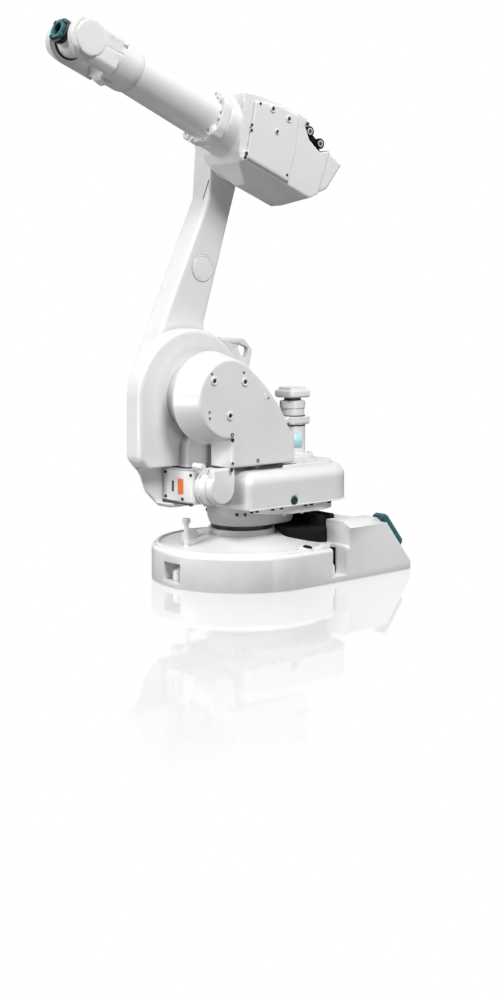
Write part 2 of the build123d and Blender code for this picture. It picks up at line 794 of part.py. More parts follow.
# Forearm: a flange plate that turns on the neck of the housing, and a tapered tube
collar_start = forearm_start + joint_gap
tube_start = collar_start + forearm_flange_thickness
with BuildPart() as forearm_flange:
    with BuildSketch(across_plane(collar_start)):
        RectangleRounded(forearm_flange_size, forearm_flange_size, forearm_flange_corner)
    extrude(amount=forearm_flange_thickness)
save(forearm_flange.part, "forearm_flange")

with BuildPart() as forearm_tube:
    with BuildSketch(across_plane(tube_start)):
        Circle(tube_root_radius)
    with BuildSketch(across_plane(tube_end)):
        Circle(tube_tip_radius)
    loft()
save(forearm_tube.part, "forearm_tube")

# Wrist housing: a barrel with a fork for the tilting head
fork_start = tilt_axis - fork_root
with BuildPart() as wrist_housing:
    with BuildSketch(across_plane(tube_end)):
        Circle(tube_tip_radius + tube_step)
    with BuildSketch(across_plane(tube_end + wrist_shoulder)):
        Circle(wrist_radius)
    loft()
    with BuildSketch(across_plane(tube_end + wrist_shoulder)):
        Circle(wrist_radius)
    extrude(amount=fork_start - tube_end - wrist_shoulder)
    with BuildPart(mode=Mode.PRIVATE) as fork_barrel:
        with BuildSketch(across_plane(fork_start - wrist_shoulder)):
            Circle(fork_barrel_radius)
        extrude(amount=fork_root + wrist_shoulder + 2 * fork_disc_radius)
    for outer in (fork_half_width, -fork_gap):
        with BuildPart(mode=Mode.PRIVATE) as fork_arm:
            with BuildSketch(tilt_plane(outer)):
                Circle(fork_disc_radius)
                Rectangle(fork_root + wrist_shoulder, 2 * fork_disc_radius,
                          align=(Align.MAX, Align.CENTER))
            extrude(amount=fork_half_width - fork_gap)
            add(fork_barrel.part, mode=Mode.INTERSECT)
        add(fork_arm.part)
save(wrist_housing.part, "wrist_housing")

for name, outer in (("left_wrist_cover", fork_half_width + wrist_cover_thickness),
                    ("right_wrist_cover", -fork_half_width)):
    with BuildPart() as wrist_cover:
        with BuildSketch(tilt_plane(outer)):
            Circle(wrist_cover_radius)
        extrude(amount=wrist_cover_thickness)
    save(wrist_cover.part, name)

# Tilting head between the arms of the fork, with its nose and seal
nose_end = tilt_axis + nose_length
with BuildPart() as tilting_head:
    with BuildSketch(tilt_plane(fork_gap - tilt_side_gap)):
        Circle(tilt_radius)
    extrude(amount=2 * (fork_gap - tilt_side_gap))
    with BuildSketch(across_plane(tilt_axis)):
        Circle(nose_radius)
    extrude(amount=nose_length)
save(tilting_head.part, "tilting_head")

with BuildPart() as wrist_seal:
    with BuildSketch(across_plane(nose_end)):
        Circle(seal_radius)
    extrude(amount=seal_thickness)
save(wrist_seal.part, "wrist_seal")

# Tool flange, and the drilled plate on its face with a lobe round each hole
flange_start = nose_end + seal_thickness + joint_gap
flange_face = tilt_axis + flange_reach
plate_start = flange_face - flange_plate_thickness
with BuildPart() as tool_flange:
    with BuildSketch(across_plane(flange_start)):
        Circle(flange_radius)
        with PolarLocations(tool_circle / 2, tool_holes, start_angle=180 / tool_holes):
            Circle(tool_hole / 2, mode=Mode.SUBTRACT)
        Circle(centring_diameter / 2, mode=Mode.SUBTRACT)
    extrude(amount=plate_start - flange_start)
save(tool_flange.part, "tool_flange")

with BuildPart() as flange_plate:
    with BuildSketch(across_plane(plate_start)):
        Circle(plate_body_radius)
        with PolarLocations(tool_circle / 2, tool_holes, start_angle=180 / tool_holes):
            Circle(plate_lobe_radius)
            Circle(tool_hole / 2, mode=Mode.SUBTRACT)
        Circle(centring_diameter / 2, mode=Mode.SUBTRACT)
    extrude(amount=flange_plate_thickness)
save(flange_plate.part, "flange_plate")
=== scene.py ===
from math import atan2, cos, pi, radians, sin

import bmesh
import bpy
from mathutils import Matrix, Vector


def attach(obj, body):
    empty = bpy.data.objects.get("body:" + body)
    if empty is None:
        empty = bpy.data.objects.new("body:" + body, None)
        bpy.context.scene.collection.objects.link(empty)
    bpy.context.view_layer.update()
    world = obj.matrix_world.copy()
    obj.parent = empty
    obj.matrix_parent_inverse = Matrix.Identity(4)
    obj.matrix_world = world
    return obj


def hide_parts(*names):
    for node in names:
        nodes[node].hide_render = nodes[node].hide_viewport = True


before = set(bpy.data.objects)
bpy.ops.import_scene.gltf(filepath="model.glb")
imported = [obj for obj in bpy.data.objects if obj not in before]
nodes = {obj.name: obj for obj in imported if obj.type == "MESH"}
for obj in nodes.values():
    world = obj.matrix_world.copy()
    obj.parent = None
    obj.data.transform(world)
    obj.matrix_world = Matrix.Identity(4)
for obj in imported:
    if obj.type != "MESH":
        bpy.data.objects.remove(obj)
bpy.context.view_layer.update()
MM = 0.001

# Axes of the arm, in millimetres, as in the frame
LEAN, PITCH = radians(14.71), radians(20.51)
LOWER_ARM_LENGTH = 700
SHOULDER = Vector((150, 0, 486.5))
Y = Vector((0, 1, 0))
Z = Vector((0, 0, 1))
X = Vector((1, 0, 0))
ALONG = Vector((cos(PITCH), 0, sin(PITCH)))
ABOVE = Vector((-sin(PITCH), 0, cos(PITCH)))
ARM_UP = Vector((-sin(LEAN), 0, cos(LEAN)))
ARM_FRONT = Vector((cos(LEAN), 0, sin(LEAN)))
ELBOW = SHOULDER + LOWER_ARM_LENGTH * ARM_UP

# Base: its wall, the dome on it, the sloping tail and the circle of the feet
WALL_TOP = 90
DOME_EDGE, DOME_INNER, DOME_RISE = 230, 112, 28
DOME_SLOPE = DOME_RISE / (DOME_EDGE - DOME_INNER)
DOME = atan2(DOME_RISE, DOME_EDGE - DOME_INNER)
BOX_TOP, TAIL_FOOT = 150, 22
TAIL_START, TAIL_END = -300, -406
TAIL = atan2(BOX_TOP - TAIL_FOOT, TAIL_START - TAIL_END)
TAIL_OUT = Vector((-sin(TAIL), 0, cos(TAIL)))
TAIL_UP = Vector((cos(TAIL), 0, sin(TAIL)))
FOOT_RADIUS, FOOT_SHIFT = 230, -15
FOOT_TURNS = (0, 120, 240)

# Faces that screws stand on: the side cover and the housing cover at +Y, the motor plate at +X
COVER_FACE, HOUSING_FACE, MOTOR_FACE = 126.8, 82.4, 217

# The turning motor's axis along X, the wrist axis along the forearm, and the bowl's radius
TURNING_MOTOR, WRIST, BOWL_RADIUS = -188, 600, 93.4


def at(x, y, z):
    """A point by its place in the frame."""
    return Vector((x, y, z))


def forearm(a, p, y=0.0):
    """A point a along the forearm from the elbow, p above its axis and y to the left."""
    return ELBOW + a * ALONG + p * ABOVE + y * Y


def lower_arm(front, up, y):
    """A point up the lower arm from the shoulder, front of its axis and y to the left."""
    return SHOULDER + front * ARM_FRONT + up * ARM_UP + y * Y


def foot(turn, z):
    """The middle of a foot's anchor bolt at a height."""
    return at(FOOT_RADIUS * cos(radians(turn)) + FOOT_SHIFT, FOOT_RADIUS * sin(radians(turn)), z)


# Materials


def new_material(name):
    """A material with its shader and the coordinates that its patterns lie in."""
    mat = bpy.data.materials.new(name)
    mat.use_nodes = True
    tree = mat.node_tree
    shader = tree.nodes["Principled BSDF"]
    place = tree.nodes.new("ShaderNodeTexCoord")
    return mat, tree, shader, place


def noise(tree, place, scale, detail, rough=0.5):
    """Noise in the piece's own coordinates; a scale of 1 is about one patch to a metre."""
    node = tree.nodes.new("ShaderNodeTexNoise")
    node.inputs["Scale"].default_value = scale
    node.inputs["Detail"].default_value = detail
    node.inputs["Roughness"].default_value = rough
    tree.links.new(place.outputs["Object"], node.inputs["Vector"])
    return node


def ramp(tree, source, stops):
    """Colour ramp over a height output, with stops of (position, colour)."""
    node = tree.nodes.new("ShaderNodeValToRGB")
    els = node.color_ramp.elements
    while len(els) < len(stops):
        els.new(0.5)
    for el, (pos, col) in zip(els, stops):
        el.position = pos
        el.color = (*col, 1)
    tree.links.new(source, node.inputs["Fac"])
    return node


def bump(tree, shader, layers):
    """Chain of bumps, each a height output with its strength and depth in metres."""
    last = None
    for height, strength, depth in layers:
        node = tree.nodes.new("ShaderNodeBump")
        node.inputs["Strength"].default_value = strength
        node.inputs["Distance"].default_value = depth
        tree.links.new(height, node.inputs["Height"])
        if last:
            tree.links.new(last.outputs["Normal"], node.inputs["Normal"])
        last = node
    tree.links.new(last.outputs["Normal"], shader.inputs["Normal"])


def grey(v):
    return (v, v, v)


def paint(name, low, high, roughness, swell):
    """Sprayed paint: faint mottling, orange peel, and the casting's own unevenness under it."""
    mat, tree, shader, place = new_material(name)
    mottle = noise(tree, place, 9.0, 5.0, 0.6)
    tone = ramp(tree, mottle.outputs["Fac"], [(0.3, low), (0.7, high)])
    tree.links.new(tone.outputs["Color"], shader.inputs["Base Color"])
    smear = noise(tree, place, 26.0, 3.0)
    rough = ramp(tree, smear.outputs["Fac"],
                 [(0.35, grey(roughness - 0.05)), (0.7, grey(roughness + 0.07))])
    tree.links.new(rough.outputs["Color"], shader.inputs["Roughness"])
    peel = noise(tree, place, 420.0, 2.0)
    uneven = noise(tree, place, 60.0, 3.0)
    bump(tree, shader, [(uneven.outputs["Fac"], 0.25, swell), (peel.outputs["Fac"], 0.12, 0.0002)])
    shader.inputs["Coat Weight"].default_value = 0.15
    shader.inputs["Coat Roughness"].default_value = 0.25
    shader.inputs["Specular IOR Level"].default_value = 0.45
    return mat


def metal(name, low, high, roughness):
    """Bare or plated metal with a mottled tone and fine scratches."""
    mat, tree, shader, place = new_material(name)
    shader.inputs["Metallic"].default_value = 1.0
    mottle = noise(tree, place, 35.0, 5.0)
    tone = ramp(tree, mottle.outputs["Fac"], [(0.3, low), (0.7, high)])
    tree.links.new(tone.outputs["Color"], shader.inputs["Base Color"])
    fine = noise(tree, place, 180.0, 3.0, 0.7)
    rough = ramp(tree, fine.outputs["Fac"],
                 [(0.3, grey(roughness - 0.08)), (0.7, grey(roughness + 0.1))])
    tree.links.new(rough.outputs["Color"], shader.inputs["Roughness"])
    bump(tree, shader, [(fine.outputs["Fac"], 0.2, 0.0002)])
    return mat


def moulded(name, low, high, roughness, grain=260.0, gloss=0.5):
    """Plastic or rubber with a fine moulded grain."""
    mat, tree, shader, place = new_material(name)
    shader.inputs["Specular IOR Level"].default_value = gloss
    mottle = noise(tree, place, 18.0, 4.0)
    tone = ramp(tree, mottle.outputs["Fac"], [(0.3, low), (0.7, high)])
    tree.links.new(tone.outputs["Color"], shader.inputs["Base Color"])
    dust = noise(tree, place, 40.0, 3.0)
    rough = ramp(tree, dust.outputs["Fac"],
                 [(0.3, grey(roughness - 0.06)), (0.75, grey(roughness + 0.1))])
    tree.links.new(rough.outputs["Color"], shader.inputs["Roughness"])
    fine = noise(tree, place, grain, 2.0)
    bump(tree, shader, [(fine.outputs["Fac"], 0.25, 0.0002)])
    return mat


WHITE = paint("white_paint", grey(0.74), grey(0.79), 0.36, 0.0006)
CAST = paint("cast_paint", grey(0.72), grey(0.78), 0.42, 0.0009)
# SHADE is the white paint darkened: painted shade for painted parts that lie in shadow.
SHADE = paint("shaded_grey_paint", grey(0.50), grey(0.56), 0.45, 0.0006)
ZINC = metal("zinc_screw", (0.5, 0.5, 0.48), (0.66, 0.66, 0.64), 0.3)
# Black steel for screws and the tool flange, and also painted shade on the turning ring.
DARK_STEEL_AND_SHADE = metal("black_screw_and_painted_shade", grey(0.05), grey(0.1), 0.4)
BRASS = metal("brass", (0.5, 0.38, 0.2), (0.66, 0.52, 0.28), 0.3)
TEAL = moulded("teal_plastic", (0.010, 0.075, 0.09), (0.02, 0.125, 0.14), 0.42)
# Dark plastic for connectors and marks, and also painted shade in the gaps at the turning motor,
# under the shoulder cover and at the fork.
DARK = moulded("dark_plastic", grey(0.018), grey(0.035), 0.45)
RUBBER = moulded("black_rubber", (0.012, 0.014, 0.014), (0.025, 0.028, 0.028), 0.6)
# Black hose, and also painted shade in the side notches, the socket recess and under the turret.
HOSE_AND_SHADE = moulded("black_hose_and_painted_shade", grey(0.003), grey(0.007), 0.75, gloss=0.12)
GREEN_PLUG = moulded("green_plug", (0.004, 0.03, 0.025), (0.008, 0.05, 0.042), 0.4)
LABEL = moulded("white_label", grey(0.82), grey(0.88), 0.35, 90.0)
ORANGE = moulded("orange_label", (0.78, 0.16, 0.03), (0.86, 0.22, 0.05), 0.4, 90.0)
PALE_TEAL = moulded("pale_teal_label", (0.42, 0.72, 0.74), (0.55, 0.82, 0.84), 0.4, 90.0)
PLATE = moulded("plain_plate", grey(0.76), grey(0.83), 0.33, 120.0)


# Mesh building


def new_object(name, bm):
    """Writes a bmesh in millimetres as an object in metres."""
    for v in bm.verts:
        v.co *= MM
    mesh = bpy.data.meshes.new(name)
    bm.to_mesh(mesh)
    bm.free()
    obj = bpy.data.objects.new(name, mesh)
    bpy.context.scene.collection.objects.link(obj)
    return obj


def round_edges(obj, width, segments, angle):
    """Small rounded edges wherever faces meet at more than an angle."""
    mod = obj.modifiers.new("edges", "BEVEL")
    mod.width = width * MM
    mod.segments = segments
    mod.limit_method = "ANGLE"
    mod.angle_limit = radians(angle)
    mod.harden_normals = True


def finish_mesh(name, bm, body, mat, soft=35.0, edge=0.0):
    """Writes a bmesh in millimetres as a piece that rides on a body."""
    bmesh.ops.recalc_face_normals(bm, faces=bm.faces)
    obj = new_object(name, bm)
    obj.data.materials.append(mat)
    if edge:
        round_edges(obj, edge, 2, 32)
    obj.data.shade_smooth()
    obj.data.set_sharp_from_angle(angle=radians(soft))
    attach(obj, body)
    return obj


def basis(direction):
    """A direction and two unit vectors square to it."""
    d = direction.normalized()
    start = Z if abs(d.z) < 0.9 else X
    u = (start - start.dot(d) * d).normalized()
    return d, u, d.cross(u)


def circle(centre, u, v, radius, sides):
    """Points round a centre, in the directions u and v."""
    return [centre + radius * (cos(2 * pi * i / sides) * u + sin(2 * pi * i / sides) * v)
            for i in range(sides)]


def skin(bm, rings):
    """Joins rings of the same count into one closed form."""
    loops = [[bm.verts.new(p) for p in ring] for ring in rings]
    count = len(loops[0])
    for low, high in zip(loops, loops[1:]):
        for i in range(count):
            j = (i + 1) % count
            bm.faces.new((low[i], low[j], high[j], high[i]))
    bm.faces.new(list(reversed(loops[0])))
    bm.faces.new(loops[-1])


def lathe(bm, centre, direction, profile, sides=32):
    """Turned form: profile is a list of (radius, height). Both ends are closed."""
    d, u, v = basis(direction)
    skin(bm, [circle(centre + height * d, u, v, radius, sides) for radius, height in profile])


def rounded(points, radius):
    """A closed 2-D outline with its corners rounded."""
    arc = 5
    out = []
    for i, corner in enumerate(points):
        p = Vector(corner)
        before, after = Vector(points[i - 1]) - p, Vector(points[(i + 1) % len(points)]) - p
        a, b = before.normalized(), after.normalized()
        half = a.angle(b) / 2
        reach = min(radius / max(0.05, abs(sin(half) / cos(half))), 0.48 * before.length,
                    0.48 * after.length)
        start, end = p + a * reach, p + b * reach
        for k in range(arc + 1):
            t = k / arc
            out.append(tuple((1 - t) ** 2 * start + 2 * t * (1 - t) * p + t * t * end))
    return out


def prism(bm, outline, origin, u, v, depth):
    """A solid with a 2-D outline in the directions u and v, pushed along u x v by depth."""
    low = [origin + a * u + b * v for a, b in outline]
    skin(bm, [low, [p + u.cross(v).normalized() * depth for p in low]])


def block(bm, centre, u, v, size):
    """A box with its edges along u and v and square to both."""
    a, b, c = (s / 2 for s in size)
    u, v = u.normalized(), v.normalized()
    prism(bm, [(-a, -b), (a, -b), (a, b), (-a, b)], centre - c * u.cross(v), u, v, 2 * c)


def remesh(obj, grain):
    """Runs all forms of an object together in one skin, with a grain in millimetres."""
    mod = obj.modifiers.new("cast", "REMESH")
    mod.mode = "VOXEL"
    mod.voxel_size = grain * MM


def cast(name, sources, body, mat, grain, smooth, adds=None, cuts=None):
    """A casting: the CAD solids and added forms run together, with soft edges and inner fillets."""
    bm = bmesh.new()
    for node in sources:
        bm.from_mesh(nodes[node].data)
    for v in bm.verts:
        v.co /= MM
    if adds:
        adds(bm)
    bmesh.ops.remove_doubles(bm, verts=bm.verts, dist=0.02)
    obj = new_object(name, bm)
    remesh(obj, grain)
    cutter = None
    if cuts:
        cut_bm = bmesh.new()
        cuts(cut_bm)
        bmesh.ops.recalc_face_normals(cut_bm, faces=cut_bm.faces)
        cutter = new_object(name + "_cut", cut_bm)
        cut = obj.modifiers.new("cut", "BOOLEAN")
        cut.operation = "DIFFERENCE"
        cut.solver = "EXACT"
        cut.object = cutter
        remesh(obj, grain)
    soft = obj.modifiers.new("soft", "SMOOTH")
    soft.factor = 0.5
    soft.iterations = smooth
    done = bpy.data.meshes.new_from_object(obj.evaluated_get(bpy.context.evaluated_depsgraph_get()))
    obj.modifiers.clear()
    if cutter:
        bpy.data.objects.remove(cutter)
    obj.data = done
    done.materials.clear()
    done.materials.append(mat)
    done.shade_smooth()
    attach(obj, body)
    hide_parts(*sources)


def dress(node, mat, edge=0.0):
    """Gives a CAD node its finish, and small rounded edges where it has hard ones."""
    obj = nodes[node]
    obj.data.materials.clear()
    obj.data.materials.append(mat)
    if edge:
        weld = obj.modifiers.new("weld", "WELD")
        weld.merge_threshold = 0.00002
        round_edges(obj, edge, 3, 35)
    obj.data.shade_smooth()
    obj.data.set_sharp_from_angle(angle=radians(35))


def screw_head(bm, centre, direction, radius, height):
    """Socket-head screw: the head with its chamfer and the six-sided socket."""
    d, u, v = basis(direction)
    sides = 24
    turns = [2 * pi * i / sides for i in range(sides)]
    rings = [circle(centre + h * d, u, v, r, sides)
             for r, h in ((radius, 0), (radius, height * 0.8), (radius * 0.88, height))]
    rings += [[centre + h * d + r / cos(t % (pi / 3) - pi / 6) * (cos(t) * u + sin(t) * v)
               for t in turns]
              for r, h in ((radius * 0.52, height), (radius * 0.5, height * 0.35))]
    skin(bm, rings)


def screws(name, body, places, direction, radius, height, mat=ZINC, pad=0.0, sunk=0.0):
    """A group of screws; pad is the radius of a painted boss that each one stands in, and sunk
    is how deep the heads are let in."""
    bm = bmesh.new()
    for p in places:
        screw_head(bm, p - sunk * direction.normalized(), direction, radius, height)
    finish_mesh(name, bm, body, mat, soft=40)
    if pad:
        bm = bmesh.new()
        for p in places:
            lathe(bm, p, direction,
                  [(pad + 1.5, -0.6), (pad + 0.4, 2.6), (pad - 0.8, 3.6), (radius + 2.4, 3.6),
                   (radius + 1.2, 2.6), (radius + 1.0, 0.1)], 36)
        finish_mesh(name + "_pads", bm, body, WHITE, soft=40)


# Base
dress("base_casting", CAST, 3.0)
# The ring under the turret is in the shaded grey: painted shade below the bowl.
dress("base_ring", SHADE, 1.0)
dress("connector_panel", PLATE, 0.8)

# Stop pin with its collar and head
bm = bmesh.new()
lathe(bm, at(192, 0, 92), Z, [(11, 0), (11, 4), (6.8, 9), (6.2, 60), (6.2, 66), (10.4, 67.5),
                              (10.8, 71), (10.8, 78), (9.4, 79.9)])
pin = finish_mesh("stop_pin_post", bm, "base", CAST)
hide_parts("stop_pin")

# Low stop block, rounded like a mound
stop_dir = at(cos(radians(-17)), sin(radians(-17)), 0)
stop_at = 150 * stop_dir
bm = bmesh.new()
rings = []
for inset, z in ((0, 104), (0.4, 116), (2.5, 124), (6.5, 130.5), (11.5, 134.4), (16, 135.6)):
    a, b = 22 - inset, 17 - inset * 0.8
    rings.append([stop_at + x * stop_dir + y * Z.cross(stop_dir) + z * Z
                  for x, y in rounded([(-a, -b), (a, -b), (a, b), (-a, b)], 11)])
skin(bm, rings)
mound = finish_mesh("stop_mound", bm, "base", CAST, soft=60)
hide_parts("stop_block")

# Raised rim on the dome, up to the notches of the side feet
bm = bmesh.new()
skin(bm, [[at(r * cos(radians(t)), r * sin(radians(t)), z)
           for r, z in ((219, 89), (220.5, 95.6), (222.5, 97), (229, 96.6), (231.5, 94),
                        (232, 89))] for t in range(-116, 117, 2)])
finish_mesh("dome_rim", bm, "base", CAST, soft=50)

# Blind plug in the dome, with the lip round it
turn, plug_radius = radians(100), 218
plug_dir = Vector((sin(DOME) * cos(turn), sin(DOME) * sin(turn), cos(DOME)))
plug_at = at(plug_radius * cos(turn), plug_radius * sin(turn),
             WALL_TOP + (DOME_EDGE - plug_radius) * DOME_SLOPE) + 4.4 * plug_dir
bm = bmesh.new()
lathe(bm, plug_at - 5 * plug_dir, plug_dir,
      [(12.5, 0), (12.5, 7.2), (11.4, 8), (4, 8), (3, 7.4)], 36)
plug = finish_mesh("base_blind_plug", bm, "base", HOSE_AND_SHADE)
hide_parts("base_plug")
bm = bmesh.new()
lathe(bm, plug_at, plug_dir, [(20.5, -7), (19.4, 1.4), (17.8, 2.2), (14.6, 2), (13.2, 0.6)], 40)
finish_mesh("base_plug_lip", bm, "base", WHITE)


def hose(bm, path, radius):
    """Round hose along a path of points, with closed ends."""
    rings = []
    for k, p in enumerate(path):
        ahead = path[min(k + 1, len(path) - 1)] - path[max(k - 1, 0)]
        rings.append(circle(p, *basis(ahead)[1:], radius, 16))
    skin(bm, rings)


# Cable duct in the front of the connector box, with its hoses
bm = bmesh.new()
block(bm, at(-193, 0, 131), X, Y, (39, 296, 26))
finish_mesh("duct_cover", bm, "base", HOSE_AND_SHADE, edge=1.5)
bm = bmesh.new()
for x, z, radius, half in ((-184, 150, 8.5, 138), (-200, 153, 10, 144), (-187, 161, 5, 120)):
    hose(bm, [at(x + 2 * sin(y / 17), y, z) for y in range(-half, half + 1, 6)], radius)
finish_mesh("duct_hoses", bm, "base", HOSE_AND_SHADE, soft=60)

# Black block over the hoses between the box and the bearing: a cover, and painted shade for the
# deep shadow under the turret
bm = bmesh.new()
for side in (-1, 1):
    shape = [(-171, 40), (-112, 40), (-82, 72), (-46, 104), (-50, 126), (-92, 157), (-128, 168),
             (-171, 158)]
    skin(bm, [[at(x + inset * 0.6, side * (y - inset), z) for x, y in rounded(shape, 14)]
              for inset, z in ((0, 88), (0, 124), (1.5, 130), (6, 134))])
finish_mesh("hose_cover_and_shade", bm, "base", HOSE_AND_SHADE, soft=50)
bm = bmesh.new()
for side in (-1, 1):
    skin(bm, [[at(x, side * (y - inset), z) for x, y in
               rounded([(-171.5, 60), (-162, 76), (-140, 118), (-150, 146), (-171.5, 146)], 8)]
              for inset, z in ((0, 120), (0, 150), (2, 158), (8, 163))])
finish_mesh("hose_cover_and_shade_top", bm, "base", HOSE_AND_SHADE, soft=50)

# Three anchor bolts in the foot pockets, under their caps
bm = bmesh.new()
for turn in FOOT_TURNS:
    seat = foot(turn, 14)
    lathe(bm, seat, Z, [(15, 0), (15, 2.6), (8.2, 2.8)])
    prism(bm, [(12.5 * cos(k * pi / 3), 12.5 * sin(k * pi / 3)) for k in range(6)],
          seat + at(0, 0, 2.8), X, Y, 9.5)
    lathe(bm, seat, Z, [(7.8, 12), (7.8, 15.5), (6.8, 17)], 24)
finish_mesh("anchor_bolts", bm, "base", ZINC, edge=0.5)
bm = bmesh.new()
for turn in FOOT_TURNS:
    lathe(bm, foot(turn, 16), Z, [(17, 0), (17, 19), (14.5, 24), (7, 27.5), (1, 28)])
finish_mesh("anchor_caps", bm, "base", WHITE)

# Black strips on the rear walls of the notches beside the side feet: painted shade deep in the
# notches
bm = bmesh.new()
for side in (-1, 1):
    block(bm, at(-151.2, side * 195, 50), Y, Z, (19, 66, 1.4))
finish_mesh("side_pocket_shade", bm, "base", HOSE_AND_SHADE)

# Connectors on the panel in the tail
PANEL = at(-353, 0, 86) - 31 * TAIL_OUT


def round_connector(name, node, y, radius, mat):
    """Bayonet connector: flange, knurled ring, shell and its cap."""
    bm = bmesh.new()
    c = PANEL + y * Y
    lathe(bm, c, TAIL_OUT, [(radius + 4, 0), (radius + 4, 4), (radius + 3, 5), (radius, 5.2),
                            (radius, 10)], 40)
    d, u, v = basis(TAIL_OUT)
    sides = 96
    turns = [2 * pi * i / sides for i in range(sides)]
    skin(bm, [[c + h * d + r * (1.0 - 0.025 * (i % 2)) * (cos(t) * u + sin(t) * v)
               for i, t in enumerate(turns)]
              for r, h in ((radius * 0.97, 9), (radius, 10), (radius, 21), (radius * 0.95, 22.5))])
    lathe(bm, c, TAIL_OUT, [(radius * 0.86, 21), (radius * 0.86, 28), (radius * 0.8, 29.8),
                            (radius * 0.3, 30)], 40)
    obj = finish_mesh(name, bm, "base", mat)
    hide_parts(node)
    places = [c + 4.2 * TAIL_OUT + (radius + 1.4) * (cos(k) * Y + sin(k) * TAIL_UP)
              for k in (pi / 4, 3 * pi / 4, 5 * pi / 4, 7 * pi / 4)]
    screws(name + "_screws", "base", places, TAIL_OUT, 2.2, 1.8)


round_connector("power_coupling", "power_connector", 47, 27, DARK)
round_connector("signal_coupling", "signal_connector", -21, 19, DARK)
round_connector("air_coupling", "air_connector", -73, 11, BRASS)
screws("panel_screws", "base",
       [PANEL + y * Y + u * TAIL_UP for y in (-116, 116) for u in (-34, 34)], TAIL_OUT, 4.5, 3)


def bent_strip(name, node, side):
    """Ribbed guard bent over the upper edge of the tail and down its slope."""
    corner = at(TAIL_START, side * 239.8, BOX_TOP)
    path = [(corner + s * X, Z, 6) for s in range(5, 0, -2)]
    for k in range(9):
        turn = TAIL * k / 8
        path.append((corner, Vector((-sin(turn), 0, cos(turn))), 6))
    path += [(corner - s * TAIL_UP, TAIL_OUT, 5) for s in range(2, 108, 2)]
    rings = []
    for k, (p, out, drop) in enumerate(path):
        ridge = min(19 if k % 4 in (0, 1) else 14.5, 6 + 0.8 * k)
        if k in (0, len(path) - 1):
            ridge = 7
        across = [(0.2, 0.3 - drop), (0.2, ridge - 3), (2.8, ridge), (32, ridge),
                  (34.6, ridge - 3), (34.6, 0.3), (21.6, 0.3)]
        rings.append([p - side * w * Y + h * out for w, h in across])
    bm = bmesh.new()
    skin(bm, rings)
    obj = finish_mesh(name, bm, "base", TEAL, soft=50)
    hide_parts(node)


bent_strip("left_guard_strip", "left_guard", 1)
bent_strip("right_guard_strip", "right_guard", -1)

# Turret
# The turning ring is black: a painted shadow line under the bowl.
dress("turning_ring", DARK_STEEL_AND_SHADE, 1.5)
dress("turret_flange", CAST, 2.0)
dress("turret_lid", CAST, 1.5)
dress("lifting_lug", CAST, 4.0)
dress("motor_plate", PLATE, 0.4)
cast("turret_body", ["turret_casting"], "turret", CAST, 3.0, 3)


def turret_path(grow):
    """The outline of the turret casting from the left wall round the rear to the right wall."""
    bend_x, bend_y, corner = -180, 63, 104 + grow
    half, rear = bend_y + corner, bend_x - corner
    turns = [radians(t) for t in range(0, 91, 6)]
    path = [(x, half) for x in (118, 60, 0, -60, -120)]
    path += [(bend_x - corner * sin(t), bend_y + corner * cos(t)) for t in turns]
    path += [(rear, y) for y in (30, 0, -30)]
    path += [(bend_x - corner * cos(t), -bend_y - corner * sin(t)) for t in turns]
    return path + [(x, -half) for x in (-120, -60, -24)]


# Hem along the foot of the turret casting
bm = bmesh.new()
layers = [(-3, 200.4), (1, 200.4), (2, 201.2), (2, 202.6), (1, 203.4), (-3, 203.6)]
paths = [(turret_path(grow), z) for grow, z in layers]
skin(bm, [[at(*path[k], z) for path, z in paths] for k in range(len(paths[0][0]))])
finish_mesh("turret_hem", bm, "turret", CAST, soft=40)
screws("hem_screws", "turret",
       [at(x, side * 161, 200.6) for x in (108, 90, 35, 4, -83, -105, -172) for side in (-1, 1)
        if x < 0 or side > 0], -Z, 5.0, 6.0, mat=DARK_STEEL_AND_SHADE)


def bowl_outline(r):
    """Outline of the casting round the turning ring: a half circle in front, longer at the rear."""
    front = [(r * cos(radians(t)), r * sin(radians(t))) for t in range(-90, 91, 6)]
    rear = [(r * cos(radians(t)) - 66, r * sin(radians(t))) for t in range(90, 271, 6)]
    return front + rear


# Bowl round the turning ring, in the shaded grey: painted shade, as the bowl lies in shadow under
# the turret
bm = bmesh.new()
skin(bm, [[at(x, y, z) for x, y in bowl_outline(r)]
          for r, z in ((90, 199.8), (93.2, 199.7), (93.6, 197), (93.6, 172), (93, 166), (91.2, 158),
                       (88.4, 150), (86.6, 144.5), (84, 142.4))])
finish_mesh("turret_bowl", bm, "turret", SHADE, soft=60)
bowl_bolts = [(BOWL_RADIUS * cos(radians(t)), BOWL_RADIUS * sin(radians(t)), radians(t))
              for t in (41, 54, -41, -54)]
bowl_bolts += [(-23, side * BOWL_RADIUS, side * pi / 2) for side in (-1, 1)]
for k, (x, y, t) in enumerate(bowl_bolts):
    screws(f"bowl_screw_{k + 1}", "turret", [at(x, y, 176)], at(cos(t), sin(t), 0), 4.6, 3.4,
           mat=DARK_STEEL_AND_SHADE)
screws("flange_screws", "turret",
       [at(x, y, 178) for x, y in ((20, 128), (-30, 138), (-90, 140), (-150, 134), (-205, 100),
                                  (20, -128), (-30, -138), (-90, -140), (-150, -134),
                                  (-205, -100), (-235, 30), (-235, -30))],
       -Z, 5.5, 5.5)
bm = bmesh.new()
lathe(bm, at(-38, 164, 214), Y,
      [(10.8, 0), (10.8, 3.2), (9.8, 4.8), (6, 5), (5, 3.8), (1, 3.6)])
plug = finish_mesh("wall_plug", bm, "turret", GREEN_PLUG)
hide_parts("rubber_plug")
screws("lid_screws", "turret",
       [at(x, y, 303.2) for x, y in ((-52, 118), (-120, 120), (-190, 96), (-220, 52), (-52, -118),
                                    (-120, -120), (-190, -96), (-220, -52))], Z, 4.5, 2.6)

